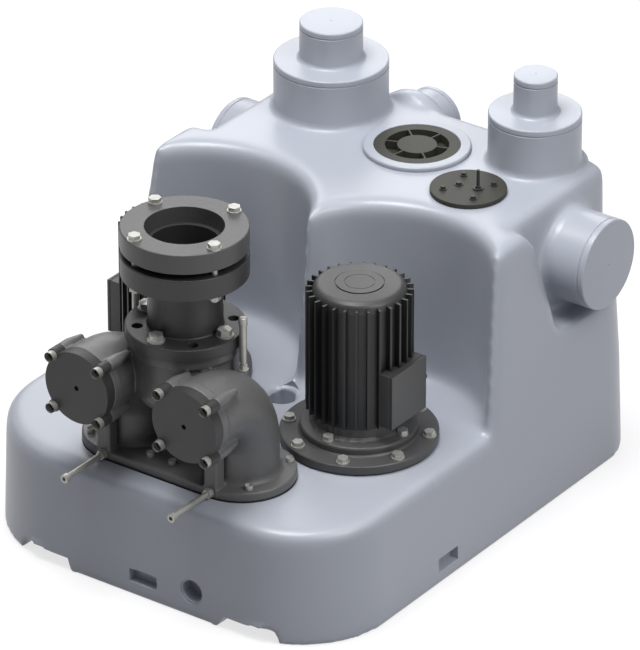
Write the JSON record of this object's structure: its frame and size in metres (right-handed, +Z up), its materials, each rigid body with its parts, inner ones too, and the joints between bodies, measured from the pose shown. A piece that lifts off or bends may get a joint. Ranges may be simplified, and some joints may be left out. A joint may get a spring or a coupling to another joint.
{
  "type": "sewage lifting unit",
  "caption": "Floor-standing moulded tank with flanged motor pumps, a twin check valve with round covers, a clamped riser connection and capped inlet spigots.",
  "frame": {"origin": "on the floor under the middle of the tank's footprint", "axes": "+Z up, +Y from the outlet side to the tall back of the tank, +X to the right seen from the outlet side"},
  "size_m": [0.7905, 1.044, 0.687],
  "materials": {
    "tank_plastic": "satin rotomoulded polyethylene",
    "lid_plastic": "smooth",
    "olive_plastic": "smooth",
    "cast_coated": "dark powder coat over casting",
    "cover_coated": "dark powder coat",
    "stainless": "plain stainless",
    "shaft_steel": "ground",
    "seal_rubber": "matt",
    "gland_plastic": "matt",
    "winding_copper": "varnished copper windings"
  },
  "bodies": {
    "unit": {"tank": "tank_plastic", "lid_ring": "lid_plastic", "sensor_plate": "olive_plastic", "sensor_plate_screws": "stainless", "hose_nipple": "stainless", "cable_entry": "gland_plastic", "pressure_bell": "gland_plastic", "pump_gaskets": "seal_rubber", "pump_cover_left": "cast_coated", "pump_cover_right": "cast_coated", "pump_cover_bolts": "stainless", "motor_housing_left": "cast_coated", "motor_housing_right": "cast_coated", "motor_cap_left": "cast_coated", "motor_cap_right": "cast_coated", "motor_bolts": "stainless", "terminal_box_left": "cast_coated", "terminal_box_right": "cast_coated", "terminal_lids": "cast_coated", "cable_glands": "gland_plastic", "stators": "winding_copper", "bearings": "shaft_steel", "shaft_seals": "seal_rubber", "volute_left": "cast_coated", "volute_right": "cast_coated", "discharge_pipe_left": "tank_plastic", "discharge_pipe_right": "tank_plastic", "valve_gasket": "seal_rubber", "valve_housing": "cast_coated", "valve_base_screws": "stainless", "valve_cover_left": "cover_coated", "valve_cover_right": "cover_coated", "cover_gaskets": "seal_rubber", "cover_screws": "stainless", "flap_pins": "stainless", "lift_screw_nuts": "stainless", "vent_screw_nuts": "stainless", "outlet_gasket": "seal_rubber", "outlet_neck": "cast_coated", "outlet_bolts": "stainless", "clamp_sleeve": "seal_rubber", "clamp_ring": "cast_coated", "clamp_bolts": "stainless"},
    "rotor_set_left": {"shaft_left": "shaft_steel", "rotor_left": "shaft_steel", "impeller_left": "cast_coated"},
    "rotor_set_right": {"shaft_right": "shaft_steel", "rotor_right": "shaft_steel", "impeller_right": "cast_coated"},
    "flap_left": {"check_flap_left": "seal_rubber"},
    "flap_right": {"check_flap_right": "seal_rubber"},
    "lift_left": {"lift_screw_left": "stainless"},
    "lift_right": {"lift_screw_right": "stainless"},
    "vent_left": {"vent_screw_left": "stainless"},
    "vent_right": {"vent_screw_right": "stainless"},
    "lid": {"lid_plug": "olive_plastic", "lid_seal": "seal_rubber"}
  },
  "joints": [
    {"name": "left_pump_spin", "type": "hinge", "parent": "unit", "child": "rotor_set_left", "pos_m": [-0.188, -0.1215, 0.25], "axis": [0, 0, 1], "continuous": true},
    {"name": "right_pump_spin", "type": "hinge", "parent": "unit", "child": "rotor_set_right", "pos_m": [0.2, -0.1215, 0.25], "axis": [0, 0, 1], "continuous": true},
    {"name": "left_flap_hinge", "type": "hinge", "parent": "unit", "child": "flap_left", "pos_m": [-0.104, -0.3735, 0.24], "axis": [1, 0, 0], "range_deg": [0, 40]},
    {"name": "left_lift_slide", "type": "slide", "parent": "unit", "child": "lift_left", "axis": [0, 1, 0], "range_m": [0, 0.0155]},
    {"name": "left_vent_slide", "type": "slide", "parent": "unit", "child": "vent_left", "axis": [0, 0, 1], "range_m": [0, 0.01]},
    {"name": "right_flap_hinge", "type": "hinge", "parent": "unit", "child": "flap_right", "pos_m": [0.116, -0.3735, 0.24], "axis": [1, 0, 0], "range_deg": [0, 40]},
    {"name": "right_lift_slide", "type": "slide", "parent": "unit", "child": "lift_right", "axis": [0, 1, 0], "range_m": [0, 0.0155]},
    {"name": "right_vent_slide", "type": "slide", "parent": "unit", "child": "vent_right", "axis": [0, 0, 1], "range_m": [0, 0.01]},
    {"name": "lid_lift", "type": "slide", "parent": "unit", "child": "lid", "axis": [0, 0, 1], "range_m": [0, 0.08]}
  ],
  "couplings": [
    {"joint": "left_lift_slide", "follows": "left_flap_hinge", "m_per_rad": 0.0215},
    {"joint": "right_lift_slide", "follows": "right_flap_hinge", "m_per_rad": 0.0215}
  ]
}
